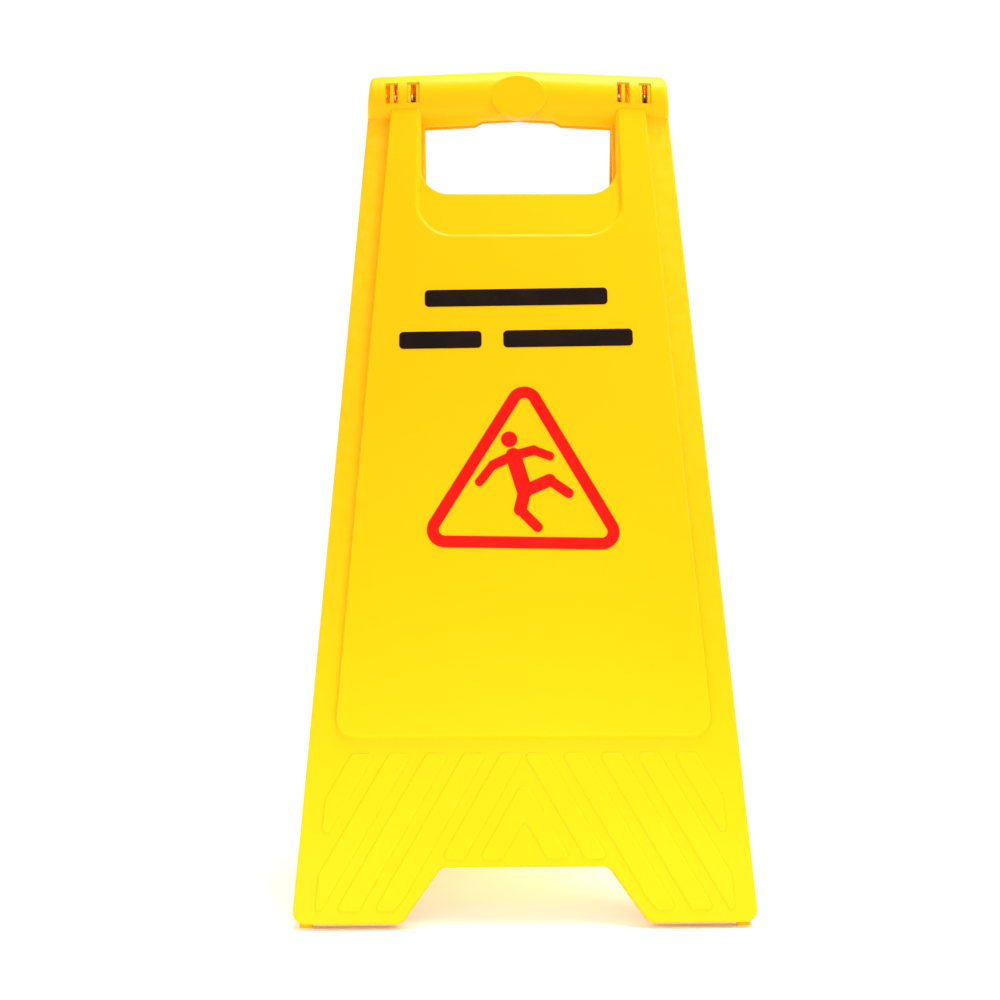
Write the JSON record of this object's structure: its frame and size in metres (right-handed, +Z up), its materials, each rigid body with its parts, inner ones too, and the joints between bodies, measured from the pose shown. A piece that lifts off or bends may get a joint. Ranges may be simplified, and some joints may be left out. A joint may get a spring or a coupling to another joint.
{
  "type": "wet floor sign",
  "caption": "Folding A-frame floor warning sign: yellow moulded panels joined by a snap barrel hinge, with a hand opening, arched feet, word bars and a slip pictogram.",
  "frame": {"origin": "centre of the open sign's footprint, on the floor", "axes": "+Z up, front panel's face towards -Y, hinge axis along X"},
  "size_m": [0.2996, 0.2898, 0.5917],
  "materials": {
    "yellow_plastic": "satin injection-moulded polypropylene",
    "black_ink": "satin screen print",
    "red_ink": "satin screen print"
  },
  "bodies": {
    "front": {"front_panel": "yellow_plastic", "front_caution_bar": "black_ink", "front_wet_floor_bars": "black_ink", "front_warning_triangle": "red_ink", "front_slipping_figure": "red_ink"},
    "rear": {"rear_panel": "yellow_plastic", "rear_caution_bar": "black_ink", "rear_wet_floor_bars": "black_ink", "rear_warning_triangle": "red_ink", "rear_slipping_figure": "red_ink"}
  },
  "joints": [
    {"name": "panel_hinge", "type": "hinge", "parent": "front", "child": "rear", "pos_m": [0, 0, 0.567], "axis": [-1, 0, 0], "range_deg": [0, 26]}
  ]
}
